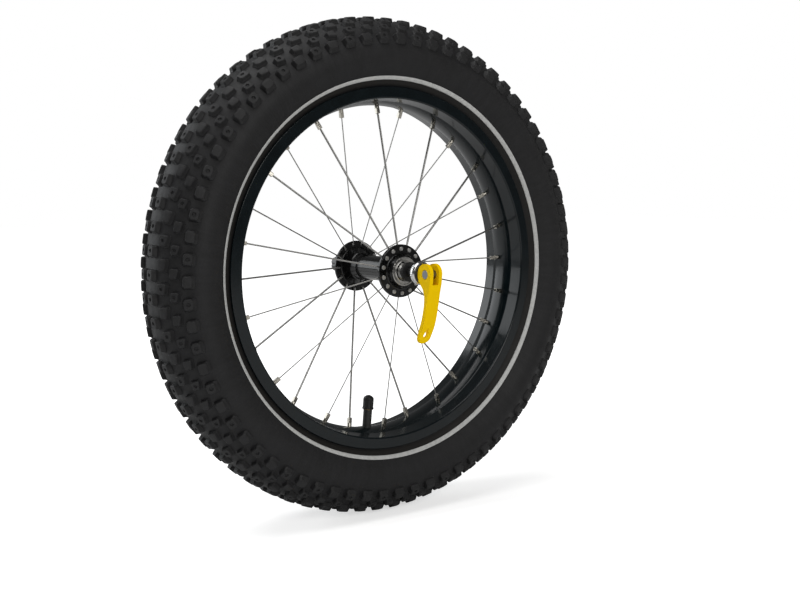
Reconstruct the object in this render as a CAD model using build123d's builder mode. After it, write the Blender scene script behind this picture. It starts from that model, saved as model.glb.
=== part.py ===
"""Sixteen-inch fat-tyre wheel of a child bicycle trailer, with its quick-release skewer. Spin axis Y."""
import os
from math import atan2, cos, degrees, hypot, pi, radians, sin

from build123d import *

# ---- wheel ----
spokeCount = 14                 # per side
valveAngle = 265.0              # polar angle of the valve about the spin axis
sidePitch = 360.0 / spokeCount
nearStart = valveAngle + sidePitch / 4
farStart = valveAngle - sidePitch / 4

# ---- tyre and tube ----
casingOuter = [(157.6, 22.7), (160.0, 24.3), (165.5, 28.8), (170.0, 32.2), (176.0, 35.6), (183.0, 37.3),
               (190.0, 36.6), (197.0, 33.4), (204.0, 28.0), (210.0, 19.5), (213.2, 10.0), (214.2, 0.0)]
casingInner = [(156.5, 19.6), (160.5, 20.8), (165.5, 25.4), (170.0, 28.8), (176.0, 32.2), (183.0, 34.0),
               (190.0, 33.2), (197.0, 29.8), (204.0, 24.2), (208.4, 16.5), (210.3, 8.0), (210.8, 0.0)]
tubeOuter = [(152.6, 10.0), (155.2, 17.2), (160.5, 20.1), (165.5, 24.7), (170.0, 28.1), (176.0, 31.5),
             (183.0, 33.3), (190.0, 32.5), (197.0, 29.1), (204.0, 23.5), (208.0, 16.0), (209.6, 8.0)]
tubeFloor, tubeCrown, tubeCentre, tubeWall = 152.2, 210.1, 181.0, 1.2
beadToe, beadBase = 19.0, 152.9
treadRows = [(34.0, 199.0, 4.2), (28.3, 207.5, 5.0), (20.6, 213.8, 5.5), (10.4, 217.7, 6.0), (0.0, 219.2, 6.0)]
treadWidth, crownCentre = 6.6, 176.0

# ---- rim ----
rimHalf = [(143.6, 0.0), (143.6, 4.8), (144.1, 6.8), (145.1, 9.6), (146.7, 12.8),
           (148.3, 26.2), (158.0, 25.5), (158.6, 24.8),
           (158.2, 23.6), (155.6, 23.3), (153.1, 23.3), (152.5, 22.6), (152.3, 17.2), (150.6, 14.2),
           (150.6, 0.0)]
rimCavity = [(145.4, 0.0), (145.4, 5.4), (146.8, 10.0), (148.2, 12.2), (149.1, 12.2), (149.1, 0.0)]
tapeInner, tapeOuter, tapeHalf = 150.75, 151.35, 13.4
valveHole = 4.4

# ---- spokes and nipples, in a frame with x outward and z towards the spoke's own flange ----
spokeRadius = 1.0
holeCircle = 19.3
elbowBend = 2.2
elbowStart = 33.6
elbowEnd = (holeCircle + elbowBend, elbowStart - elbowBend)
nippleSeat = (143.6, 4.0)
spokeTilt = degrees(atan2(elbowEnd[1] - nippleSeat[1], nippleSeat[0] - elbowEnd[0]))
spokeHead = 1.9
nippleRound, nippleHead, nippleSquare = 2.0, 2.8, 3.3
nippleTail, nippleStep, nippleLand, nippleTop = -7.4, -2.6, 1.05, 2.15
drillReach = 8.5

# ---- hub ----
flangeRadius, flangeInner, flangeOuter = 23.1, 33.2, 36.4
hubHalf = [(10.9, 0.0), (10.9, 20.0), (12.2, 26.0), (17.0, 32.6), (17.6, 33.2), (22.6, 33.2), (23.1, 33.8),
           (23.1, 35.8), (22.6, 36.4), (15.4, 36.4), (14.4, 39.4), (13.4, 41.2), (12.7, 41.2), (12.7, 40.3),
           (12.05, 40.3), (12.05, 33.5), (9.0, 33.5), (9.0, 0.0)]
spokeHoleRadius = 1.3

# ---- bearings ----
ballCount, ballRadius, raceRadius = 10, 2.38, 2.45
ballPitch, ballPlane = 8.7, 37.5
cupHalf = [(7.6, 33.6), (12.0, 33.6), (12.0, 40.2), (9.6, 40.2), (9.6, 37.0), (7.6, 36.0)]
coneHalf = [(4.3, 35.4), (6.6, 35.4), (6.6, 38.0), (7.9, 39.3), (7.9, 44.6), (4.3, 44.6)]
cageRing = (9.9, 40.2, 40.2)
capRingInner, capRingOuter, capRingPlane, capRingThick = 8.3, 12.65, 40.4, 1.1

# ---- axle ----
axleRadius, axleBore, axleHalf = 4.5, 2.9, 55.5
axleThread, seatStart = 4.3, 50.1     # thread root under the nuts, full round end seats outside them
washerPlane, washerRadius = 44.7, 7.6
locknutPlane, locknutFace, locknutRadius = 46.2, 50.0, 8.5
locknutRelief, locknutReliefDepth = 4.8, 0.6

# ---- quick release ----
rodRadius, rodEnd = 2.5, 68.5
pivotPlane, barrelRadius, barrelHalf = -78.6, 3.85, 6.3
camStart, camRate = 10.05, 0.75     # support distance of the cam at 0 rad, and its fall per radian
leverHalf, slotHalf, slotFloor = 6.3, 2.95, -8.6
leverBore = barrelRadius + 0.07
leverOuter = [(-85.6, -6.0), (-84.0, -13.0), (-81.4, -25.0), (-79.3, -34.0), (-77.1, -41.5),
              (-74.0, -48.5), (-70.6, -54.6), (-67.8, -59.6)]
leverInner = [(-66.0, -58.2), (-68.2, -53.0), (-70.6, -47.0), (-73.4, -40.5), (-75.9, -32.5),
              (-77.4, -25.0), (-77.5, -17.0)]
tipCentre, tipRadius = -53.5, 6.3
tearCentre, tearRadius, tearPeak = -52.0, 2.3, -45.4
cupRadius, cupBack, cupFront, cupChamfer = 10.0, -62.0, -67.0, 1.4
cupRecess, cupRecessDepth = 7.4, 2.4
slideBore = rodRadius + 0.08
padRadius, padFront = 8.3, -68.4
clampRingPlane, clampRingThick, clampRingRadius = 56.2, 1.5, 8.0
nutPlane, nutLength, nutRadius = 57.8, 8.6, 8.0

# ---- valve, in a frame with z along the stem towards the hub ----
stemRadius, stemBase, stemEnd = 3.95, 152.05, 127.6
stemFoot, stemFootThick = 6.0, 0.6
stemThread, threadEnd, valveBore = 3.85, 118.4, 2.5
coreRadius, coreLength, coreDepth, pinRadius, pinEnd = 2.3, 12.0, 1.4, 0.7, 119.0
capRadius, capFlare, capMouth, capTop, capBore = 4.75, 5.1, 127.2, 114.5, 3.93
sealPlane, sealThick = 118.0, 0.9

os.makedirs("parts", exist_ok=True)


def mirrored(half):
    """Closed outline of a section given for y >= 0."""
    return half + [(r, -y) for r, y in reversed(half) if y > 0]


def save(part, label):
    part.label = label
    export_step(part, f"parts/{label}.step")


def alongStem(reach):
    """Plane square to the valve stem at a distance from the spin axis, facing the hub."""
    out = (cos(radians(valveAngle)), 0, sin(radians(valveAngle)))
    return Plane(origin=tuple(reach * c for c in out), x_dir=(0, 1, 0), z_dir=tuple(-c for c in out))


def alongSpoke(reach):
    """Plane square to a spoke, at a distance past the nipple seat."""
    out = (cos(radians(spokeTilt)), 0, -sin(radians(spokeTilt)))
    return Plane(origin=(nippleSeat[0] + reach * out[0], 0, nippleSeat[1] + reach * out[2]),
                 x_dir=(0, 1, 0), z_dir=out)


# tyre: an open casing with beads, and a raised band for each tread row
with BuildPart() as tyre:
    with BuildSketch() as tyreSection:
        with BuildLine():
            outer = Spline(*(casingOuter + [(r, -y) for r, y in reversed(casingOuter[:-1])]))
            inner = Spline(*(casingInner + [(r, -y) for r, y in reversed(casingInner[:-1])]))
            Polyline(casingOuter[0], (beadBase, casingOuter[0][1]), (beadBase, beadToe), casingInner[0])
            Polyline((casingOuter[0][0], -casingOuter[0][1]), (beadBase, -casingOuter[0][1]),
                     (beadBase, -beadToe), (casingInner[0][0], -casingInner[0][1]))
        make_face()
        for y, r, depth in treadRows:
            for side in ((1, -1) if y else (1,)):
                slope = degrees(atan2(side * y, r - crownCentre))
                reach = hypot(y, r - crownCentre) - depth / 2
                with Locations((crownCentre + reach * cos(radians(slope)), reach * sin(radians(slope)))):
                    Rectangle(depth, treadWidth, rotation=slope)
    revolve(axis=Axis.Y)

# inner tube: a closed ring with the valve passage through its floor
tubeOutline = ([(tubeFloor, 0.0)] + tubeOuter + [(tubeCrown, 0.0)]
               + [(r, -y) for r, y in reversed(tubeOuter)])
tubeHollow = [(r - tubeWall * (r - tubeCentre) / hypot(r - tubeCentre, y),
               y - tubeWall * y / hypot(r - tubeCentre, y)) for r, y in tubeOutline]
with BuildPart() as innerTube:
    with BuildSketch():
        for outline, mode in ((tubeOutline, Mode.ADD), (tubeHollow, Mode.SUBTRACT)):
            with BuildLine():
                Spline(*outline, periodic=True)
            make_face(mode=mode)
    revolve(axis=Axis.Y)
    with BuildSketch(alongStem(tubeFloor + 6)):
        Circle(valveBore)
    extrude(amount=10, mode=Mode.SUBTRACT)

# one spoke, its nipple and the drilling both need
with BuildPart() as spoke:
    with BuildLine() as wire:
        start = Line((holeCircle, 0, flangeOuter + 0.6), (holeCircle, 0, elbowStart))
        bend = RadiusArc(start @ 1, (holeCircle + elbowBend * (1 - sin(radians(spokeTilt))), 0,
                                     elbowStart - elbowBend * cos(radians(spokeTilt))), elbowBend)
        Line(bend @ 1, alongSpoke(nippleLand - 0.2).origin)
    with BuildSketch(Plane(origin=start @ 0, z_dir=start % 0)):
        Circle(spokeRadius)
    sweep(path=wire.line)
    with BuildSketch(Plane.XY.offset(flangeOuter)):
        with Locations((holeCircle, 0)):
            Circle(spokeHead)
    extrude(amount=1.1)
    chamfer(spoke.faces().sort_by(Axis.Z)[-1].edges(), 0.4)

with BuildPart() as nipple:
    with BuildSketch(alongSpoke(nippleTail)):
        RectangleRounded(nippleSquare, nippleSquare, 0.4)
    extrude(amount=nippleStep - nippleTail)
    with BuildSketch(alongSpoke(nippleStep)):
        Circle(nippleRound)
    extrude(amount=nippleLand - nippleStep)
    with BuildSketch(alongSpoke(nippleLand)):
        Circle(nippleHead)
    extrude(amount=nippleTop - nippleLand)
    with BuildSketch(alongSpoke(nippleTail - 1)):
        Circle(spokeRadius + 0.03)
    extrude(amount=nippleTop - nippleTail + 2, mode=Mode.SUBTRACT)

with BuildPart() as spokeDrill:
    with BuildSketch(alongSpoke(nippleLand - 5)):
        Circle(nippleRound + 0.1)
    extrude(amount=10)
    with BuildSketch(alongSpoke(nippleLand)):
        Circle(nippleHead + 0.2)
    extrude(amount=drillReach)

mirroredParts = {}
for label, master in (("spoke", spoke), ("nipple", nipple), ("drill", spokeDrill)):
    with BuildPart() as flipped:
        add(mirror(master.part, about=Plane.XY))
    mirroredParts[label] = flipped.part

for side, startAngle, rod, sleeve in (("near", nearStart, spoke.part, nipple.part),
                                      ("far", farStart, mirroredParts["spoke"], mirroredParts["nipple"])):
    with BuildPart() as spokeSet:
        with Locations(Plane.XZ):
            with PolarLocations(0, spokeCount, startAngle):
                add(rod)
    save(spokeSet.part, f"spokes_{side}")
    with BuildPart() as nippleSet:
        with Locations(Plane.XZ):
            with PolarLocations(0, spokeCount, startAngle):
                add(sleeve)
    save(nippleSet.part, f"nipples_{side}")

# rim: hollow centre, shoulders, bead seats and hooked flanges, drilled for nipples and valve
with BuildPart() as rim:
    with BuildSketch():
        Polygon(*mirrored(rimHalf), align=None)
        Polygon(*mirrored(rimCavity), align=None, mode=Mode.SUBTRACT)
    revolve(axis=Axis.Y)
    with Locations(Plane.XZ):
        with PolarLocations(0, spokeCount, nearStart):
            add(spokeDrill.part, mode=Mode.SUBTRACT)
        with PolarLocations(0, spokeCount, farStart):
            add(mirroredParts["drill"], mode=Mode.SUBTRACT)
    with BuildSketch(alongStem(tapeOuter)):
        Circle(valveHole)
    extrude(amount=10, mode=Mode.SUBTRACT)

with BuildPart() as rimTape:
    with BuildSketch():
        with Locations(((tapeInner + tapeOuter) / 2, 0)):
            Rectangle(tapeOuter - tapeInner, 2 * tapeHalf)
    revolve(axis=Axis.Y)
    with BuildSketch(alongStem(tapeOuter + 1)):
        Circle(valveHole)
    extrude(amount=3, mode=Mode.SUBTRACT)

# hub shell: barrel flaring to two drilled flanges, with a bearing seat in each end
with BuildPart() as hub:
    with BuildSketch():
        Polygon(*mirrored(hubHalf), align=None)
    revolve(axis=Axis.Y)
    for plane, startAngle in ((Plane.XZ.offset(flangeInner - 1), nearStart),
                              (Plane.XZ.offset(-flangeOuter - 1), farStart)):
        with BuildSketch(plane):
            with PolarLocations(holeCircle, spokeCount, startAngle):
                Circle(spokeHoleRadius)
        extrude(amount=flangeOuter - flangeInner + 2, mode=Mode.SUBTRACT)

for node, name in ((tyre, "tyre"), (innerTube, "inner_tube"), (rim, "rim"), (rimTape, "rim_tape"),
                   (hub, "hub_shell")):
    save(node.part, name)

# bearings, axle nuts and dust caps, alike on both ends
for name, side in (("near", -1), ("far", 1)):
    with BuildPart() as cup:
        with BuildSketch():
            Polygon(*[(r, side * y) for r, y in cupHalf], align=None)
            with Locations((ballPitch, side * ballPlane)):
                Circle(raceRadius, mode=Mode.SUBTRACT)
        revolve(axis=Axis.Y)
    save(cup.part, f"bearing_cup_{name}")

    with BuildPart() as cone:
        with BuildSketch():
            Polygon(*[(r, side * y) for r, y in coneHalf], align=None)
            with Locations((ballPitch, side * ballPlane)):
                Circle(raceRadius, mode=Mode.SUBTRACT)
        revolve(axis=Axis.Y)
    save(cone.part, f"cone_{name}")

    with BuildPart() as balls:
        with Locations(Plane.XZ.offset(-side * ballPlane)):
            with PolarLocations(ballPitch, ballCount):
                Sphere(ballRadius)
    save(balls.part, f"balls_{name}")

    with BuildPart() as dustRing:
        with BuildSketch(Plane.XZ.offset(-side * capRingPlane)):
            Circle(capRingOuter)
            Circle(capRingInner, mode=Mode.SUBTRACT)
        extrude(amount=-side * capRingThick)
        chamfer(dustRing.edges().filter_by(GeomType.CIRCLE).group_by(SortBy.RADIUS)[0], 0.3)
    save(dustRing.part, f"dust_ring_{name}")

    with BuildPart() as lockWasher:
        with BuildSketch(Plane.XZ.offset(-side * washerPlane)):
            Circle(washerRadius)
            Circle(axleThread, mode=Mode.SUBTRACT)
        extrude(amount=-side * (locknutPlane - washerPlane - 0.05))
    save(lockWasher.part, f"lock_washer_{name}")

    with BuildPart() as locknut:
        with BuildSketch(Plane.XZ.offset(-side * locknutPlane)):
            Circle(locknutRadius)
            Circle(axleThread, mode=Mode.SUBTRACT)
        extrude(amount=-side * (locknutFace - locknutPlane))
        with BuildSketch(Plane.XZ.offset(-side * locknutFace)):
            Circle(locknutRelief)
        extrude(amount=side * locknutReliefDepth, mode=Mode.SUBTRACT)
        with BuildSketch(Plane.XZ.offset(-side * (locknutPlane - 1))):
            Circle(locknutRadius + 3)
            RegularPolygon(locknutRadius - 0.5, 6, major_radius=False, mode=Mode.SUBTRACT)
        extrude(amount=-side * 3, mode=Mode.SUBTRACT)
    save(locknut.part, f"locknut_{name}")

with BuildPart() as axle:
    with BuildSketch(Plane.XZ.offset(-axleHalf)):
        Circle(axleRadius)
        Circle(axleBore, mode=Mode.SUBTRACT)
    extrude(amount=2 * axleHalf)
    chamfer(axle.edges().filter_by(GeomType.CIRCLE).group_by(SortBy.RADIUS)[-1], 0.5)
    with BuildSketch(Plane.XZ.offset(-seatStart)):
        Circle(axleRadius + 1)
        Circle(axleThread, mode=Mode.SUBTRACT)
    extrude(amount=2 * seatStart, mode=Mode.SUBTRACT)
save(axle.part, "axle")

# quick release: rod, cross barrel, lever with its cam ears, clamp cup, pad, clamp ring and nut
with BuildPart() as skewerRod:
    with BuildSketch(Plane.XZ.offset(-rodEnd)):
        Circle(rodRadius)
    extrude(amount=rodEnd - pivotPlane - barrelRadius + 0.6)
    chamfer(skewerRod.edges().group_by(Axis.Y)[-1], 0.4)
    with BuildSketch(Plane.YZ.offset(-barrelHalf)):
        with Locations((pivotPlane, 0)):
            Circle(barrelRadius)
    extrude(amount=2 * barrelHalf, mode=Mode.SUBTRACT)

with BuildPart() as pivotBarrel:
    with BuildSketch(Plane.YZ.offset(-barrelHalf)):
        with Locations((pivotPlane, 0)):
            Circle(barrelRadius)
    extrude(amount=2 * barrelHalf)
    chamfer(pivotBarrel.edges().filter_by(GeomType.CIRCLE), 0.35)


def camPoint(degree):
    """Point of the cam whose support distance falls linearly with angle (involute of a circle)."""
    turn = radians(degree)
    reach = camStart - camRate * turn
    return (pivotPlane + reach * cos(turn) + camRate * sin(turn), reach * sin(turn) - camRate * cos(turn))


with BuildPart() as lever:
    with BuildSketch(Plane.YZ) as leverSide:
        with BuildLine():
            cam = Spline(*[camPoint(a) for a in range(-50, 191, 10)])
            front = Spline(*([cam @ 1] + leverOuter), tangents=(cam % 1, (0.75, -0.65)))
            back = Spline(*leverInner)
            ThreePointArc(front @ 1, (-66.2, -59.9), back @ 0)
            Polyline(back @ 1, (-75.6, -12.4), cam @ 0)
        make_face()
    extrude(amount=leverHalf, both=True)
    with BuildSketch(Plane.XZ.offset(-pivotPlane - 25)):
        with Locations((0, tipCentre)):
            Circle(tipRadius)
        with Locations((0, (tipCentre + 20) / 2)):
            Rectangle(2 * leverHalf, 20 - tipCentre)
    extrude(amount=50, mode=Mode.INTERSECT)
    with BuildSketch(Plane.YZ):
        with Locations((pivotPlane, slotFloor + 15)):
            Rectangle(30, 30)
    extrude(amount=slotHalf, both=True, mode=Mode.SUBTRACT)
    with BuildSketch(Plane.YZ.offset(-leverHalf)):
        with Locations((pivotPlane, 0)):
            Circle(leverBore)
    extrude(amount=2 * leverHalf, mode=Mode.SUBTRACT)
    with BuildSketch(Plane.XZ.offset(-pivotPlane - 25)):
        with Locations((0, tearCentre)):
            Circle(tearRadius)
        with BuildLine():
            Polyline((-tearRadius * 0.92, tearCentre + 1), (0, tearPeak), (tearRadius * 0.92, tearCentre + 1),
                     close=True)
        make_face()
    extrude(amount=50, mode=Mode.SUBTRACT)

with BuildPart() as clampCup:
    with BuildSketch(Plane.XZ.offset(-cupBack)):
        Circle(cupRadius)
    extrude(amount=cupBack - cupFront)
    chamfer(clampCup.edges().group_by(Axis.Y)[0], cupChamfer)
    fillet(clampCup.edges().group_by(Axis.Y)[-1], 0.4)
    with BuildSketch(Plane.XZ.offset(-cupBack)):
        Circle(cupRecess)
    extrude(amount=cupRecessDepth, mode=Mode.SUBTRACT)
    with BuildSketch(Plane.XZ.offset(-cupBack - 1)):
        Circle(slideBore)
    extrude(amount=cupBack - cupFront + 2, mode=Mode.SUBTRACT)

with BuildPart() as camPad:
    with BuildSketch(Plane.XZ.offset(-cupFront)):
        Circle(padRadius)
        Circle(slideBore, mode=Mode.SUBTRACT)
    extrude(amount=cupFront - padFront)
    chamfer(camPad.edges().filter_by(GeomType.CIRCLE).group_by(SortBy.RADIUS)[-1].group_by(Axis.Y)[0], 0.3)

with BuildPart() as clampRing:
    with BuildSketch(Plane.XZ.offset(-clampRingPlane)):
        Circle(clampRingRadius)
        Circle(slideBore, mode=Mode.SUBTRACT)
    extrude(amount=-clampRingThick)

with BuildPart() as skewerNut:
    with BuildSketch(Plane.XZ.offset(-nutPlane)):
        Circle(nutRadius)
        with PolarLocations(nutRadius + 1.6, 6):
            Circle(2.4, mode=Mode.SUBTRACT)
    extrude(amount=-nutLength)
    fillet(skewerNut.faces().sort_by(Axis.Y)[-1].edges(), 1.0)
    with BuildSketch(Plane.XZ.offset(-nutPlane + 1)):
        Circle(slideBore)
    extrude(amount=-nutLength - 2, mode=Mode.SUBTRACT)

for node, name in ((skewerRod, "skewer_rod"), (pivotBarrel, "pivot_barrel"), (lever, "lever"),
                   (clampCup, "clamp_cup"), (camPad, "cam_pad"), (clampRing, "clamp_ring"),
                   (skewerNut, "skewer_nut")):
    save(node.part, name)

# valve: rubber stem, threaded brass body, core, sprung pin, cap and cap seal
with BuildPart() as stem:
    with BuildSketch(alongStem(stemBase)):
        Circle(stemFoot)
    extrude(amount=stemFootThick)
    with BuildSketch(alongStem(stemBase)):
        Circle(stemRadius)
    extrude(amount=stemBase - stemEnd)
    with BuildSketch(alongStem(stemBase + 1)):
        Circle(valveBore + 0.7)
    extrude(amount=stemBase - stemEnd + 2, mode=Mode.SUBTRACT)

with BuildPart() as valveBody:
    with BuildSketch(alongStem(stemBase)):
        Circle(valveBore + 0.65)
    extrude(amount=stemBase - threadEnd)
    with BuildSketch(alongStem(stemEnd - 0.1)):
        Circle(stemThread)
    extrude(amount=stemEnd - 0.1 - threadEnd)
    with BuildSketch(alongStem(stemBase + 1)):
        Circle(valveBore)
    extrude(amount=stemBase - threadEnd + 2, mode=Mode.SUBTRACT)

with BuildPart() as valveCore:
    with BuildSketch(alongStem(threadEnd + coreDepth + coreLength)):
        Circle(coreRadius)
        Circle(pinRadius + 0.35, mode=Mode.SUBTRACT)
    extrude(amount=coreLength)

with BuildPart() as valvePin:
    with BuildSketch(alongStem(threadEnd + coreDepth + coreLength + 2)):
        Circle(pinRadius)
    extrude(amount=coreDepth + coreLength + 2 - (pinEnd - threadEnd))

with BuildPart() as valveCap:
    with BuildSketch(alongStem(capMouth)):
        Circle(capFlare)
    extrude(amount=1.6)
    with BuildSketch(alongStem(capMouth - 1.6)):
        Circle(capRadius)
    extrude(amount=capMouth - 1.6 - capTop)
    chamfer(valveCap.faces().sort_by(Axis.Z)[-1].edges(), 1.8)
    with BuildSketch(alongStem(capMouth + 1)):
        Circle(capBore)
    extrude(amount=capMouth + 1 - sealPlane + sealThick + 0.1, mode=Mode.SUBTRACT)

with BuildPart() as capSeal:
    with BuildSketch(alongStem(sealPlane)):
        Circle(capBore - 0.33)
        Circle(1.3, mode=Mode.SUBTRACT)
    extrude(amount=sealThick)

for node, name in ((stem, "valve_stem"), (valveBody, "valve_body"), (valveCore, "valve_core"),
                   (valvePin, "valve_pin"), (valveCap, "valve_cap"), (capSeal, "cap_seal")):
    save(node.part, name)
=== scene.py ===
from math import cos, pi, radians, sin

import bmesh
import bpy
import numpy as np
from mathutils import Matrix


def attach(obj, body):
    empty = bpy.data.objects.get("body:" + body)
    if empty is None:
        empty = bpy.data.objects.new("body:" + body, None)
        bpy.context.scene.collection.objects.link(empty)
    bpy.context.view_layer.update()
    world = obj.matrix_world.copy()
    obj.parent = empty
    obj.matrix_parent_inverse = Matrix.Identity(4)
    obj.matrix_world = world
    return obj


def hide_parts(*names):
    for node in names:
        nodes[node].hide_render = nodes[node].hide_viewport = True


# Fat-tyre trailer wheel. Spin axis Y, lever side towards -Y, +Z up, lengths below in millimetres.
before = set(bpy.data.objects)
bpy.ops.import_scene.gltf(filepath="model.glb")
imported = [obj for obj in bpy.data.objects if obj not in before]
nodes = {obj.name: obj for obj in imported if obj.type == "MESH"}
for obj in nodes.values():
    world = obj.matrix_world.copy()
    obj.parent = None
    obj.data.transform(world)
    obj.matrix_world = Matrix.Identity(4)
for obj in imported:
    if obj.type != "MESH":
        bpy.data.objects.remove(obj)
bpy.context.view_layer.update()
mm = 0.001
print("frame loaded", len(nodes), "nodes")


# geometry helpers
def makeMesh(name, points, faces, material, smooth=True):
    mesh = bpy.data.meshes.new(name)
    mesh.from_pydata((np.asarray(points, dtype=float) * mm).tolist(), [], faces)
    mesh.materials.append(material)
    work = bmesh.new()
    work.from_mesh(mesh)
    bmesh.ops.recalc_face_normals(work, faces=work.faces)
    work.to_mesh(mesh)
    work.free()
    mesh.polygons.foreach_set("use_smooth", np.full(len(mesh.polygons), smooth))
    obj = bpy.data.objects.new(name, mesh)
    bpy.context.scene.collection.objects.link(obj)
    return obj


def gridFaces(rows, columns, wrapRows=True, wrapColumns=True):
    i = np.arange(rows if wrapRows else rows - 1)
    j = np.arange(columns if wrapColumns else columns - 1)
    i, j = [a.ravel() for a in np.meshgrid(i, j, indexing="ij")]
    a, b = (i + 1) % rows, (j + 1) % columns
    return np.stack([i * columns + j, a * columns + j, a * columns + b, i * columns + b], 1).tolist()


# point on the wheel: x = R cos(angle), y, z = R sin(angle)
def polar(radius, axial, angle):
    radius, axial, angle = np.broadcast_arrays(radius, axial, angle)
    return np.stack([radius * np.cos(angle), axial, radius * np.sin(angle)], -1)


# corner rounding: each corner becomes an arc between two tangent points, with a support point beside each
def roundedPath(corners, radii, steps=6, support=0.12):
    corners = np.asarray(corners, float)
    count = len(corners)
    radii = np.broadcast_to(np.asarray(radii, float), count)
    path = []
    for k in range(count):
        here = corners[k]
        before, after = corners[k - 1] - here, corners[(k + 1) % count] - here
        lenA, lenB = np.hypot(*before), np.hypot(*after)
        before, after = before / lenA, after / lenB
        half = np.arccos(np.clip(before @ after, -1, 1)) / 2
        reach = min(radii[k] / max(np.tan(half), 1e-6), 0.42 * lenA, 0.42 * lenB)
        size = reach * np.tan(half)
        if reach < 1e-4 or half > 1.55:
            path.append(here)
            continue
        centre = here + (before + after) / np.linalg.norm(before + after) * size / np.sin(half)
        start, end = here + before * reach - centre, here + after * reach - centre
        turn = np.arctan2(start[0] * end[1] - start[1] * end[0], start @ end)
        angles = np.linspace(0, turn, steps)
        arc = centre + np.stack([start[0] * np.cos(angles) - start[1] * np.sin(angles),
                                 start[0] * np.sin(angles) + start[1] * np.cos(angles)], 1)
        path += [arc[0] + before * support, *arc, arc[-1] + after * support]
    return np.array(path)


# surface of revolution: the profile (R, y) carried round the spin axis
def revolve(name, profile, segments, material):
    profile = np.asarray(profile, float)
    angle = np.arange(segments) * 2 * pi / segments
    points = polar(profile[None, :, 0], profile[None, :, 1], angle[:, None]).reshape(-1, 3)
    return makeMesh(name, points, gridFaces(segments, len(profile)), material)


# Catmull-Rom curve through the points, with per steps between neighbours
def smoothCurve(points, per):
    points = np.asarray(points, float)
    p = np.vstack([2 * points[0] - points[1], points, 2 * points[-1] - points[-2]])
    out = []
    for k in range(1, len(p) - 2):
        t = np.linspace(0, 1, per, endpoint=False)[:, None]
        a, b, c, d = p[k - 1], p[k], p[k + 1], p[k + 2]
        out.append(0.5 * (2 * b + (c - a) * t + (2 * a - 5 * b + 4 * c - d) * t**2
                          + (3 * b - a - 3 * c + d) * t**3))
    return np.vstack(out + [points[-1:]])


# material helpers
def newGroup(name, inputs, outputs):
    group = bpy.data.node_groups.new(name, "ShaderNodeTree")
    for label, kind, value in inputs:
        socket = group.interface.new_socket(label, in_out="INPUT", socket_type=kind)
        socket.default_value = value
    for label, kind in outputs:
        group.interface.new_socket(label, in_out="OUTPUT", socket_type=kind)
    return group, group.nodes.new("NodeGroupInput"), group.nodes.new("NodeGroupOutput")


class Graph:
    def __init__(self, tree):
        self.tree = tree

    def node(self, kind, inputs=None, **settings):
        item = self.tree.nodes.new(kind)
        for key, value in settings.items():
            setattr(item, key, value)
        for key, value in (inputs or {}).items():
            if isinstance(value, bpy.types.NodeSocket):
                self.tree.links.new(value, item.inputs[key])
            else:
                item.inputs[key].default_value = value
        return item

    def math(self, operation, *values):
        return self.node("ShaderNodeMath", dict(enumerate(values)), operation=operation).outputs[0]

    def noise(self, vector, scale, detail=3.0, roughness=0.55, distortion=0.0):
        inputs = {"Vector": vector, "Scale": scale, "Detail": detail, "Roughness": roughness,
                  "Distortion": distortion}
        return self.node("ShaderNodeTexNoise", inputs).outputs["Fac"]

    def ramp(self, value, low, high, toLow=0.0, toHigh=1.0):
        inputs = {"Value": value, "From Min": low, "From Max": high, "To Min": toLow, "To Max": toHigh}
        return self.node("ShaderNodeMapRange", inputs).outputs["Result"]

    def mix(self, factor, a, b, blend="MIX"):
        item = self.node("ShaderNodeMix", data_type="RGBA", blend_type=blend)
        for socket, value in ((item.inputs[0], factor), (item.inputs[6], a), (item.inputs[7], b)):
            if isinstance(value, bpy.types.NodeSocket):
                self.tree.links.new(value, socket)
            else:
                socket.default_value = value
        return item.outputs[2]


def wheelCoordinates(graph):
    coordinates = graph.node("ShaderNodeTexCoord").outputs["Object"]
    split = graph.node("ShaderNodeSeparateXYZ", {0: coordinates}).outputs
    radius = graph.math("SQRT", graph.math("ADD", graph.math("MULTIPLY", split["X"], split["X"]),
                                           graph.math("MULTIPLY", split["Z"], split["Z"])))
    angle = graph.math("ARCTAN2", split["Z"], split["X"])
    return coordinates, radius, angle, split["Y"]


# grain: two noise octaves drive tone, roughness and a fine height
def buildGrain():
    group, start, end = newGroup("grain", [("Dark", "NodeSocketColor", (0, 0, 0, 1)),
                                           ("Light", "NodeSocketColor", (1, 1, 1, 1)),
                                           ("Scale", "NodeSocketFloat", 200.0),
                                           ("Fine", "NodeSocketFloat", 3000.0),
                                           ("Smooth", "NodeSocketFloat", 0.3),
                                           ("Dull", "NodeSocketFloat", 0.5)],
                                 [("Color", "NodeSocketColor"), ("Roughness", "NodeSocketFloat"),
                                  ("Height", "NodeSocketFloat")])
    graph = Graph(group)
    coordinates = graph.node("ShaderNodeTexCoord").outputs["Object"]
    broad = graph.noise(coordinates, start.outputs["Scale"], 4.0)
    fine = graph.noise(coordinates, start.outputs["Fine"], 2.0)
    tone = graph.ramp(broad, 0.3, 0.7)
    graph.tree.links.new(graph.mix(tone, start.outputs["Dark"], start.outputs["Light"]), end.inputs[0])
    wear = graph.math("ADD", graph.math("MULTIPLY", broad, 0.6), graph.math("MULTIPLY", fine, 0.4))
    rough = graph.ramp(wear, 0.3, 0.7, start.outputs["Smooth"], start.outputs["Dull"])
    graph.tree.links.new(rough, end.inputs[1])
    graph.tree.links.new(fine, end.inputs[2])
    return group


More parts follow.
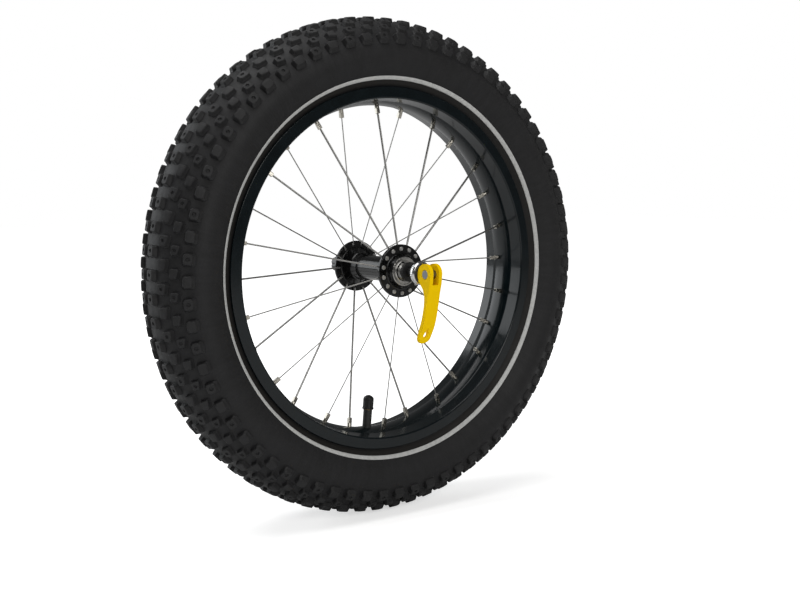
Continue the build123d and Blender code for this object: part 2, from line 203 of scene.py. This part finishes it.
# lathe: noise stretched round the spin axis, as left by turning
def buildLathe():
    group, start, end = newGroup("lathe", [("Dark", "NodeSocketColor", (0, 0, 0, 1)),
                                           ("Light", "NodeSocketColor", (1, 1, 1, 1)),
                                           ("Smooth", "NodeSocketFloat", 0.2),
                                           ("Dull", "NodeSocketFloat", 0.4)],
                                 [("Color", "NodeSocketColor"), ("Roughness", "NodeSocketFloat"),
                                  ("Height", "NodeSocketFloat")])
    graph = Graph(group)
    coordinates, radius, angle, axial = wheelCoordinates(graph)
    stretched = graph.node("ShaderNodeCombineXYZ", {0: graph.math("MULTIPLY", angle, 0.0015), 1: axial,
                                                    2: radius}).outputs[0]
    lines = graph.noise(stretched, 5200.0, 3.0)
    patch = graph.noise(coordinates, 90.0, 4.0)
    graph.tree.links.new(graph.mix(graph.ramp(patch, 0.3, 0.7), start.outputs["Dark"],
                                   start.outputs["Light"]), end.inputs[0])
    rough = graph.ramp(graph.math("ADD", graph.math("MULTIPLY", lines, 0.5),
                                  graph.math("MULTIPLY", patch, 0.5)),
                       0.35, 0.65, start.outputs["Smooth"], start.outputs["Dull"])
    graph.tree.links.new(rough, end.inputs[1])
    graph.tree.links.new(lines, end.inputs[2])
    return group


# rubber: mould grain, radial flow marks on the wall, a darker painted shade band along the rim flange,
# polished block tops
def buildRubber():
    group, start, end = newGroup("rubberSkin", [("Grain", "NodeSocketFloat", 1.0)],
                                 [("Color", "NodeSocketColor"), ("Roughness", "NodeSocketFloat"),
                                  ("Height", "NodeSocketFloat")])
    graph = Graph(group)
    coordinates, radius, angle, axial = wheelCoordinates(graph)
    fans = graph.node("ShaderNodeCombineXYZ", {0: graph.math("MULTIPLY", angle, 0.19),
                                               1: graph.math("MULTIPLY", radius, 0.22),
                                               2: graph.math("MULTIPLY", axial, 0.22)}).outputs[0]
    flow = graph.noise(fans, 190.0, 4.0, 0.6)
    cloud = graph.noise(coordinates, 26.0, 4.0, 0.6, 0.4)
    grit = graph.noise(coordinates, 1500.0, 3.0, 0.6)
    pits = graph.node("ShaderNodeTexVoronoi", {"Vector": coordinates, "Scale": 900.0}).outputs["Distance"]
    wall = graph.math("MULTIPLY", graph.ramp(radius, 0.1640, 0.1668), graph.ramp(radius, 0.199, 0.193))
    tone = graph.math("ADD", graph.math("MULTIPLY", graph.ramp(flow, 0.3, 0.75), 0.55),
                      graph.math("MULTIPLY", graph.ramp(cloud, 0.3, 0.75), 0.45))
    dark, light = (0.0062, 0.0061, 0.0064, 1), (0.0140, 0.0140, 0.0152, 1)
    base = graph.mix(tone, dark, light)
    # painted shade: a brownish-dark band from R 159 to 164 mm, standing in for the crease shade between the
    # rim flange and the reflective stripe
    rimCreaseShade = graph.math("MULTIPLY", graph.ramp(radius, 0.1640, 0.1636), graph.ramp(radius, 0.1590, 0.1600))
    base = graph.mix(rimCreaseShade, base, (0.0062, 0.0052, 0.0042, 1))
    graph.tree.links.new(base, end.inputs[0])
    rough = graph.ramp(graph.math("ADD", graph.math("MULTIPLY", cloud, 0.5),
                                  graph.math("MULTIPLY", grit, 0.5)), 0.35, 0.65, 0.52, 0.72)
    graph.tree.links.new(rough, end.inputs[1])
    height = graph.math("ADD", graph.math("MULTIPLY", grit, 0.6), graph.math("MULTIPLY", pits, 0.4))
    height = graph.math("ADD", height, graph.math("MULTIPLY", graph.math("MULTIPLY", flow, wall), 3.0))
    graph.tree.links.new(graph.math("MULTIPLY", height, start.outputs["Grain"]), end.inputs[2])
    return group


grain, lathe, rubberSkin = buildGrain(), buildLathe(), buildRubber()


def surface(name, group, values, bump=0.0002, **constants):
    material = bpy.data.materials.new(name)
    material.use_nodes = True
    graph = Graph(material.node_tree)
    shader = material.node_tree.nodes["Principled BSDF"]
    effect = graph.node("ShaderNodeGroup", node_tree=group)
    for key, value in values.items():
        effect.inputs[key].default_value = value
    links = material.node_tree.links
    links.new(effect.outputs["Color"], shader.inputs["Base Color"])
    links.new(effect.outputs["Roughness"], shader.inputs["Roughness"])
    height = graph.node("ShaderNodeBump", {"Height": effect.outputs["Height"], "Distance": bump,
                                           "Strength": 0.6})
    links.new(height.outputs["Normal"], shader.inputs["Normal"])
    for key, value in constants.items():
        shader.inputs[key.replace("_", " ")].default_value = value
    return material


def grey(value, red=1.0, blue=1.0):
    return (value * red, value, value * blue, 1)


def grained(name, dark, light, scale, fine, smooth, dull, **more):
    values = {"Dark": dark, "Light": light, "Scale": scale, "Fine": fine, "Smooth": smooth, "Dull": dull}
    return surface(name, grain, values, **more)


def turned(name, dark, light, smooth, dull, **more):
    return surface(name, lathe, {"Dark": dark, "Light": light, "Smooth": smooth, "Dull": dull}, **more)


tyreRubber = surface("tyreRubber", rubberSkin, {"Grain": 1.0}, bump=0.0003, Specular_IOR_Level=0.3)
blockRubber = surface("blockRubber", rubberSkin, {"Grain": 0.6}, bump=0.0002, Specular_IOR_Level=0.36)
stripeFilm = grained("stripeFilm", grey(0.44, 0.99, 0.98), grey(0.56, 1.0, 0.98), 350, 6000, 0.4, 0.6,
                     bump=0.00006)
rimBlack = turned("rimBlack", (0.0020, 0.0042, 0.0052, 1), (0.0032, 0.0066, 0.0082, 1), 0.14, 0.22,
                  bump=0.00001, Specular_IOR_Level=0.26, Coat_Weight=0.12, Coat_Roughness=0.04)
hubBlack = turned("hubBlack", grey(0.0025), grey(0.004), 0.12, 0.2, bump=0.00002,
                  Specular_IOR_Level=0.3, Coat_Weight=0.16, Coat_Roughness=0.04)
stainless = grained("stainless", grey(0.34), grey(0.44, 1.02, 0.94), 400, 5000, 0.42, 0.54,
                    bump=0.00002, Metallic=1.0)
nickel = grained("nickel", grey(0.34, 1.06, 0.88), grey(0.48, 1.05, 0.88), 500, 5000, 0.2, 0.36,
                 bump=0.00003, Metallic=1.0)
silverRing = turned("silverRing", grey(0.36, 1.02, 0.95), grey(0.46, 1.02, 0.95), 0.2, 0.34,
                    bump=0.00003, Metallic=1.0)
bearingSteel = turned("bearingSteel", grey(0.45), grey(0.55), 0.1, 0.2, bump=0.00001, Metallic=1.0)
zincSteel = turned("zincSteel", grey(0.42), grey(0.52, 0.98, 1.03), 0.28, 0.4, bump=0.00004, Metallic=1.0)
pivotSteel = turned("pivotSteel", grey(0.17, 0.94, 1.1), grey(0.23, 0.94, 1.1), 0.3, 0.42, bump=0.00003,
                    Metallic=1.0)
blackSteel = turned("blackSteel", grey(0.010), grey(0.018), 0.3, 0.44, bump=0.00003)
yellowCoat = grained("yellowCoat", (0.99, 0.62, 0.0002, 1), (1.0, 0.66, 0.0004, 1), 60, 2200, 0.36, 0.46,
                     bump=0.00004, Specular_IOR_Level=0.03)
chrome = turned("chrome", grey(0.52), grey(0.64), 0.08, 0.18, bump=0.00002, Metallic=1.0)
padPlastic = grained("padPlastic", grey(0.010), grey(0.016), 300, 3500, 0.4, 0.52)
nutBlack = turned("nutBlack", grey(0.008), grey(0.014), 0.24, 0.36, bump=0.00003)
stemRubber = grained("stemRubber", grey(0.010), grey(0.018), 300, 2500, 0.5, 0.66)
brass = turned("brass", (0.50, 0.34, 0.12, 1), (0.60, 0.42, 0.16, 1), 0.2, 0.34, bump=0.00003, Metallic=1.0)
capPlastic = grained("capPlastic", grey(0.003), grey(0.006), 300, 3000, 0.36, 0.48,
                     Specular_IOR_Level=0.32)
tubeRubber = grained("tubeRubber", grey(0.010), grey(0.018), 80, 1500, 0.6, 0.72)
tapeCloth = grained("tapeCloth", grey(0.012), grey(0.02), 200, 2000, 0.5, 0.65)
print("materials built")

finishes = {
    "tyre": tyreRubber, "inner_tube": tubeRubber, "rim": rimBlack, "rim_tape": tapeCloth,
    "hub_shell": hubBlack, "spokes_near": stainless, "spokes_far": stainless, "nipples_near": nickel,
    "nipples_far": nickel, "bearing_cup_near": bearingSteel, "bearing_cup_far": bearingSteel,
    "cone_near": bearingSteel, "cone_far": bearingSteel, "balls_near": bearingSteel,
    "balls_far": bearingSteel, "dust_ring_near": silverRing, "dust_ring_far": silverRing,
    "lock_washer_near": zincSteel, "lock_washer_far": zincSteel, "locknut_near": blackSteel,
    "locknut_far": blackSteel, "axle": blackSteel, "skewer_rod": zincSteel, "pivot_barrel": pivotSteel,
    "lever": yellowCoat, "clamp_cup": chrome, "cam_pad": padPlastic, "clamp_ring": zincSteel,
    "skewer_nut": nutBlack, "valve_stem": stemRubber, "valve_body": brass, "valve_core": brass,
    "valve_pin": brass, "valve_cap": capPlastic, "cap_seal": stemRubber,
}
for name, material in finishes.items():
    mesh = nodes[name].data
    mesh.materials.clear()
    mesh.materials.append(material)

# tyre casing
casing = {
    "outer": [(157.6, 22.7), (160.0, 24.3), (165.5, 28.8), (170.0, 32.2), (176.0, 35.6), (183.0, 37.3),
              (190.0, 36.3), (197.0, 32.3), (204.0, 27.6), (210.0, 20.4), (214.2, 10.5), (215.4, 0.0)],
    "inner": [(156.5, 19.6), (160.5, 20.8), (165.5, 25.4), (170.0, 28.8), (176.0, 32.2), (183.0, 34.0),
              (190.0, 33.2), (197.0, 29.8), (204.0, 24.2), (208.4, 16.5), (210.3, 8.0), (210.8, 0.0)],
    "segments": 432,
    "stripe": (163.9, 167.0), "stripeDepth": 0.6,
}
halfOuter = smoothCurve(casing["outer"], 5)
halfInner = smoothCurve(casing["inner"], 2)
outerLine = np.vstack([halfOuter, (halfOuter * (1, -1))[-2::-1]])
innerLine = np.vstack([halfInner, (halfInner * (1, -1))[-2::-1]])[::-1]
bead = [(153.2, -22.3), (153.2, -19.8)]
beadOther = [(153.2, 19.8), (153.2, 22.3)]
tyreCasing = revolve("tyreCasing", np.vstack([outerLine, bead, innerLine, beadOther]), casing["segments"],
                     tyreRubber)
print("casing built")

# reflective stripes
stripeRadii = np.linspace(*casing["stripe"], 7)
stripeAxial = np.interp(stripeRadii, halfOuter[:, 0], halfOuter[:, 1])
stripePieces = []
for name, side in (("reflectiveStripeNear", -1), ("reflectiveStripeFar", 1)):
    lift = np.array([0.02, 0.18, 0.22, 0.22, 0.22, 0.18, 0.02])
    top = np.stack([stripeRadii, side * (stripeAxial + lift)], 1)
    under = np.stack([stripeRadii, side * (stripeAxial - casing["stripeDepth"])], 1)[::-1]
    stripePieces.append(revolve(name, np.vstack([top, under]), casing["segments"], stripeFilm))

# tread blocks
# envelope of the block tops: |(R - centre) / radial|^power + |y / axial|^power = 1,
# walked by arc length from the crown
tread = {
    "centre": 174.9, "radial": 44.3, "axial": 40.5, "power": 2.15, "pitch": 5.0,
    "rows": [
        {"from": 3.0, "to": 10.0, "phase": 3.6, "width": 2.2, "depth": 5.2, "slant": 0.0, "chamfer": 0.8,
         "ledge": (0.0, 1.0, 0.0, 0.9), "holes": (1, 1)},
        {"from": 16.2, "to": 24.0, "phase": 1.3, "width": 2.25, "depth": 5.2, "slant": 1.4, "chamfer": 0.9,
         "ledge": (0.0, 1.1, 0.0, 1.1), "holes": (1, 0)},
        {"from": 27.8, "to": 34.6, "phase": 3.05, "width": 2.0, "depth": 5.0, "slant": 1.4, "chamfer": 0.9,
         "ledge": (0.0, 1.2, 0.0, 1.3), "holes": (1, 0)},
        {"from": 38.3, "to": 45.3, "phase": 4.75, "width": 2.5, "depth": 4.6, "slant": 0.0, "chamfer": 1.4,
         "ledge": (0.0, 0.6, 0.0, 2.2), "holes": (1, 0), "lift": 0.9},
    ],
}
sweep = np.linspace(0, pi / 2, 4000)
power = 2 / tread["power"]
envelopeR = tread["centre"] + tread["radial"] * np.cos(sweep) ** power
envelopeY = tread["axial"] * np.sin(sweep) ** power
envelopeL = np.concatenate([[0], np.cumsum(np.hypot(np.diff(envelopeR), np.diff(envelopeY)))])


def onEnvelope(arc, height, angle):
    place = np.abs(arc)
    radius, axial = np.interp(place, envelopeL, envelopeR), np.interp(place, envelopeL, envelopeY)
    ahead, back = place + 0.2, np.maximum(place - 0.2, 0)
    alongR = np.interp(ahead, envelopeL, envelopeR) - np.interp(back, envelopeL, envelopeR)
    alongY = np.interp(ahead, envelopeL, envelopeY) - np.interp(back, envelopeL, envelopeY)
    size = np.hypot(alongR, alongY)
    radius = radius + height * alongY / size
    axial = axial - height * alongR / size
    return polar(radius, -np.sign(arc) * axial, angle)


# eight-cornered outline, the wall side shorter by the slant at the high-angle end
def outline(c0, c1, l0, l1, chamfer, slant):
    k = chamfer
    return np.array([(c0 + k, l0), (c1 - k, l0), (c1, l0 + k), (c1, l1 - slant - k), (c1 - k, l1 - slant),
                     (c0 + k, l1), (c0, l1 - k), (c0, l0 + k)])


octagon = np.radians([-112.5, -67.5, -22.5, 22.5, 67.5, 112.5, 157.5, 202.5])


def blockMaster(row, hole):
    l0, l1 = row["from"], row["to"]
    middle = np.interp((l0 + l1) / 2, envelopeL, envelopeR)
    half = radians(row["width"]) * middle / 2 * (0.96 if hole else 1.02)
    grow = row["ledge"]

    def ring(height, out, grown=0.0):
        shape = outline(-half - out - grow[0] * grown, half + out + grow[1] * grown,
                        l0 - out - grow[2] * grown, l1 + out + grow[3] * grown,
                        row["chamfer"] + 0.3 * max(out, 0), row["slant"])
        return np.column_stack([shape, np.full(8, height)])

    depth = row["depth"]
    rings = [ring(-depth - 2.5, 1.5, 1.0), ring(-depth + 0.6, 0.9, 1.0), ring(-0.62 * depth, 0.45, 1.0),
             ring(-0.42 * depth, 0.42, 0.35), ring(-0.40, 0.05), ring(0.0, -0.32)]
    centre = np.array([0.0, (l0 + l1 - row["slant"] * 0.5) / 2])
    if hole:
        for height, radius in ((0.0, 1.75), (-0.55, 1.35), (-1.0, 1.2)):
            spot = centre + radius * np.stack([np.cos(octagon), np.sin(octagon)], 1)
            rings.append(np.column_stack([spot, np.full(8, height)]))
    else:
        shape = rings[-1][:, :2]
        rings.append(np.column_stack([centre + (shape - centre) * 0.55, np.full(8, 0.12)]))
    points = np.vstack(rings)
    faces = gridFaces(len(rings), 8, False, True)
    last = 8 * (len(rings) - 1)
    return points, faces + [list(range(last, last + 8)), list(range(7, -1, -1))], middle


blockPoints, blockFaces, total = [], [], 0
count = round(360 / tread["pitch"])
for row in tread["rows"]:
    masters = [blockMaster(row, hole) for hole in row["holes"]]
    for side in (1, -1):
        for k in range(count):
            points, faces, middle = masters[k % 2]
            centreAngle = radians(row["phase"] + tread["pitch"] * k)
            angle = centreAngle + points[:, 0] / middle
            height = points[:, 2] + row.get("lift", 0.0)
            blockPoints.append(onEnvelope(side * points[:, 1], height, angle))
            blockFaces += (np.array(faces[:-2]) + total).tolist()
            blockFaces += [[v + total for v in f] for f in faces[-2:]]
            total += len(points)
treadBlocks = makeMesh("treadBlocks", np.vstack(blockPoints), blockFaces, blockRubber, smooth=False)
for piece in (tyreCasing, treadBlocks, *stripePieces):
    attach(piece, "wheel")
    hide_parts("tyre")
print("tread built", total, "vertices")

# rim
rimShape = {
    "segments": 432, "arch": (143.6, 3.1), "archHalf": 12.8, "archDrawn": 12.2, "archPower": 2.2,
    "half": [(146.75, 13.2), (148.3, 26.2), (158.0, 25.5), (158.6, 24.8),
             (158.2, 23.6), (155.6, 23.3), (153.1, 23.3), (152.5, 22.6), (152.3, 17.2), (150.6, 14.2)],
    "rounding": [0.7, 1.4, 0.5, 0.5, 0.4, 0.5, 0.4, 0.4, 0.8, 0.8],
}
corners, rounding = rimShape["half"], rimShape["rounding"]
rimCorners = [(r, -y) for r, y in corners][::-1] + corners
rimPath = roundedPath(rimCorners, rounding[::-1] + rounding, steps=7)
# the raised centre is an arch: R = 143.6 + 3.1 (|y| / archHalf)^archPower
archAxial = np.linspace(-rimShape["archDrawn"], rimShape["archDrawn"], 33)
archRise = (np.abs(archAxial) / rimShape["archHalf"])**rimShape["archPower"]
arch = np.stack([rimShape["arch"][0] + rimShape["arch"][1] * archRise, archAxial], 1)
rimPath = np.vstack([rimPath[:len(rimPath) // 2], arch, rimPath[len(rimPath) // 2:]])
rimShell = revolve("rimShell", rimPath, rimShape["segments"], rimBlack)
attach(rimShell, "wheel")
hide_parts("rim")
print("rim built")

# hub shell
hubShape = {
    "segments": 128,
    "half": [(10.9, 20.0), (12.2, 26.0), (17.0, 32.6), (17.6, 33.2), (22.6, 33.2), (23.1, 33.8),
             (23.1, 35.8), (22.6, 36.4), (15.4, 36.4), (14.4, 39.4), (13.4, 41.2), (12.7, 41.2),
             (12.7, 40.3), (12.05, 40.3), (12.05, 33.5), (9.0, 33.5)],
    "rounding": [6.0, 5.0, 2.5, 0.8, 0.5, 0.5, 0.5, 0.5, 1.2, 1.0, 0.3, 0.2, 0.1, 0.1, 0.1, 0.1],
}
hubCorners = [(r, -y) for r, y in hubShape["half"]][::-1] + hubShape["half"]
hubPath = roundedPath(hubCorners, hubShape["rounding"][::-1] + hubShape["rounding"], steps=6)
hubBody = revolve("hubBody", hubPath, hubShape["segments"], hubBlack)
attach(hubBody, "wheel")
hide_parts("hub_shell")
print("hub built")

# dust rings and clamp cup
endShape = {
    "ring": [(8.3, 40.4), (12.65, 40.4), (12.65, 41.2), (12.3, 41.5), (11.4, 41.5), (10.9, 41.05),
             (9.6, 41.05), (9.2, 41.5), (8.7, 41.5), (8.3, 41.1)],
    "ringRounding": [0.05, 0.1, 0.15, 0.15, 0.15, 0.2, 0.2, 0.12, 0.12, 0.1],
    "cup": [(2.58, -62.0), (9.0, -62.0), (10.0, -62.7), (10.0, -65.6), (8.9, -67.0), (7.4, -67.0),
            (7.4, -64.6), (2.58, -64.6)],
    "cupRounding": [0.1, 0.5, 0.5, 0.5, 0.6, 0.3, 0.2, 0.1],
    "segments": 96, "teeth": 40, "toothDepth": 0.35, "toothedBehind": -63.6, "toothedOutside": 8.5,
}
for name, side in (("near", -1), ("far", 1)):
    ringPath = roundedPath([(r, side * y) for r, y in endShape["ring"]], endShape["ringRounding"], 5,
                           support=0.04)
    dustRing = revolve("dustRing" + name.title(), ringPath, endShape["segments"], silverRing)
    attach(dustRing, "wheel")
    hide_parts("dust_ring_" + name)

# clamp cup: turned front, toothed rim at the back that bites the axle plate
cupPath = roundedPath(endShape["cup"], endShape["cupRounding"], 5, support=0.05)
cupAngles = np.arange(endShape["teeth"] * 4) * 2 * pi / (endShape["teeth"] * 4)
toothed = np.where(np.arange(len(cupAngles)) % 4 < 2, 0.0, endShape["toothDepth"])
cupRadius = np.broadcast_to(cupPath[None, :, 0], (len(cupAngles), len(cupPath))).copy()
backRim = (cupPath[:, 1] > endShape["toothedBehind"]) & (cupPath[:, 0] > endShape["toothedOutside"])
cupRadius[:, backRim] -= toothed[:, None]
cupPoints = polar(cupRadius, cupPath[None, :, 1], cupAngles[:, None]).reshape(-1, 3)
clampCup = makeMesh("clampCup", cupPoints, gridFaces(len(cupAngles), len(cupPath)), chrome)
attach(clampCup, "clamp_cup")
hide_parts("clamp_cup")
print("hub ends built")

# valve cap
# fluted barrel under a chamfered dome: R = profile - fluteDepth (0.5 + 0.5 cos(flutes angle))^2
capShape = {
    "angle": 265.0, "mouth": 127.2, "segments": 128, "flutes": 16, "fluteDepth": 0.28,
    "profile": [(3.95, 0.0), (5.1, 0.0), (5.1, 1.4), (4.75, 1.8), (4.75, 9.6), (4.2, 10.8), (2.4, 12.2),
                (0.9, 12.7), (0.02, 12.7), (0.02, 9.6), (3.6, 9.4), (3.95, 9.2)],
    "rounding": [0.1, 0.3, 0.2, 0.2, 0.8, 0.7, 0.8, 0.3, 0.01, 0.01, 0.1, 0.1],
}
capPath = roundedPath(capShape["profile"], capShape["rounding"], 5, support=0.06)
around = np.arange(capShape["segments"]) * 2 * pi / capShape["segments"]
flute = capShape["fluteDepth"] * (0.5 + 0.5 * np.cos(around * capShape["flutes"]))**2
onBarrel = (capPath[:, 0] > 4.3) & (capPath[:, 1] > 1.9) & (capPath[:, 1] < 10.6)
capRadius = capPath[None, :, 0] - flute[:, None] * onBarrel[None, :]
outward = np.array([cos(radians(capShape["angle"])), 0, sin(radians(capShape["angle"]))])
sideways = np.array([-outward[2], 0, outward[0]])
capPoints = (outward * (capShape["mouth"] - capPath[None, :, 1, None])
             + sideways * (capRadius * np.cos(around[:, None]))[..., None]
             + np.array([0, 1, 0]) * (capRadius * np.sin(around[:, None]))[..., None]).reshape(-1, 3)
valveCap = makeMesh("valveCap", capPoints, gridFaces(len(around), len(capPath)), capPlastic)
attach(valveCap, "valve_cap")
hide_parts("valve_cap")
print("valve cap built")

# floor, light, camera
studio = {
    "floor": -0.2192, "floorHalf": 6.0, "room": 0.12, "floorGlow": (0.58, 0.95), "glowReach": (0.35, 0.95),
    "softboxes": [
        ("overhead", (-0.5, 0.1, 1.7), (0.0, 0.0, 0.0), (1.6, 1.6), 24.0, (1.0, 1.0, 1.0)),
        ("back", (-1.15, 1.7, 0.55), (0.0, 0.0, 0.0), (1.9, 1.3), 19.0, (0.95, 0.98, 1.0)),
        ("front", (-0.3, -2.1, 0.9), (0.0, 0.0, 0.0), (1.3, 0.9), 19.0, (1.0, 0.99, 0.97)),
        ("right", (1.9, -0.6, 0.5), (0.0, 0.0, 0.0), (0.4, 1.1), 2.0, (1.0, 0.98, 0.94)),
    ],
}
floorMaterial = bpy.data.materials.new("paperSweep")
floorMaterial.use_nodes = True
floorGraph = Graph(floorMaterial.node_tree)
floorShader = floorMaterial.node_tree.nodes["Principled BSDF"]
floorShader.inputs["Roughness"].default_value = 0.9
floorShader.inputs["Specular IOR Level"].default_value = 0.1
floorTone = floorGraph.ramp(floorGraph.noise(floorGraph.node("ShaderNodeTexCoord").outputs["Object"], 3.0),
                            0.3, 0.7, 0.88, 0.9)
floorMaterial.node_tree.links.new(floorTone, floorShader.inputs["Base Color"])
floorShader.inputs["Emission Color"].default_value = (1, 1, 1, 1)
floorSeen = floorGraph.node("ShaderNodeLightPath").outputs["Is Camera Ray"]
floorPlace = floorGraph.node("ShaderNodeTexCoord").outputs["Object"]
floorReach = floorGraph.node("ShaderNodeVectorMath", {0: floorPlace}, operation="LENGTH").outputs["Value"]
floorGlow = floorGraph.ramp(floorReach, *studio["glowReach"], *studio["floorGlow"])
floorMaterial.node_tree.links.new(floorGraph.math("MULTIPLY", floorSeen, floorGlow),
                                  floorShader.inputs["Emission Strength"])
half, level = studio["floorHalf"] / mm, studio["floor"] / mm
sweepCorners = [(x * half, y * half, level) for x, y in ((-1, -1), (1, -1), (1, 1), (-1, 1))]
sweepFloor = makeMesh("paperSweep", sweepCorners, [[0, 1, 2, 3]], floorMaterial, smooth=False)

world = bpy.data.worlds.new("studioRoom")
world.use_nodes = True
bpy.context.scene.world = world
room = Graph(world.node_tree)
background = world.node_tree.nodes["Background"]
seen = room.node("ShaderNodeLightPath").outputs["Is Camera Ray"]
strength = room.ramp(seen, 0.0, 1.0, studio["room"], 1.0)
background.inputs["Color"].default_value = (1, 1, 1, 1)
world.node_tree.links.new(strength, background.inputs["Strength"])


def aim(obj, position, target):
    direction = np.array(target, float) - np.array(position, float)
    obj.location = position
    flat = np.hypot(direction[0], direction[1])
    obj.rotation_euler = (np.arctan2(flat, -direction[2]), 0, np.arctan2(direction[1], direction[0]) - pi / 2)


for name, position, target, size, power, colour in studio["softboxes"]:
    light = bpy.data.lights.new(name, "AREA")
    light.shape, light.size, light.size_y = "RECTANGLE", size[0], size[1]
    light.energy, light.color = power, colour
    lamp = bpy.data.objects.new(name, light)
    bpy.context.scene.collection.objects.link(lamp)
    aim(lamp, position, target)

view = {
    "lens": 48.98, "sensor": 36.0, "place": (-0.5481, -0.8014, 0.0795), "target": (0.0151, -0.0132, -0.0284),
}
cameraData = bpy.data.cameras.new("camera")
cameraData.lens, cameraData.sensor_width = view["lens"], view["sensor"]
camera = bpy.data.objects.new("camera", cameraData)
bpy.context.scene.collection.objects.link(camera)
aim(camera, view["place"], view["target"])
bpy.context.scene.camera = camera
bpy.context.scene.view_settings.view_transform = "Standard"
print("stage set")
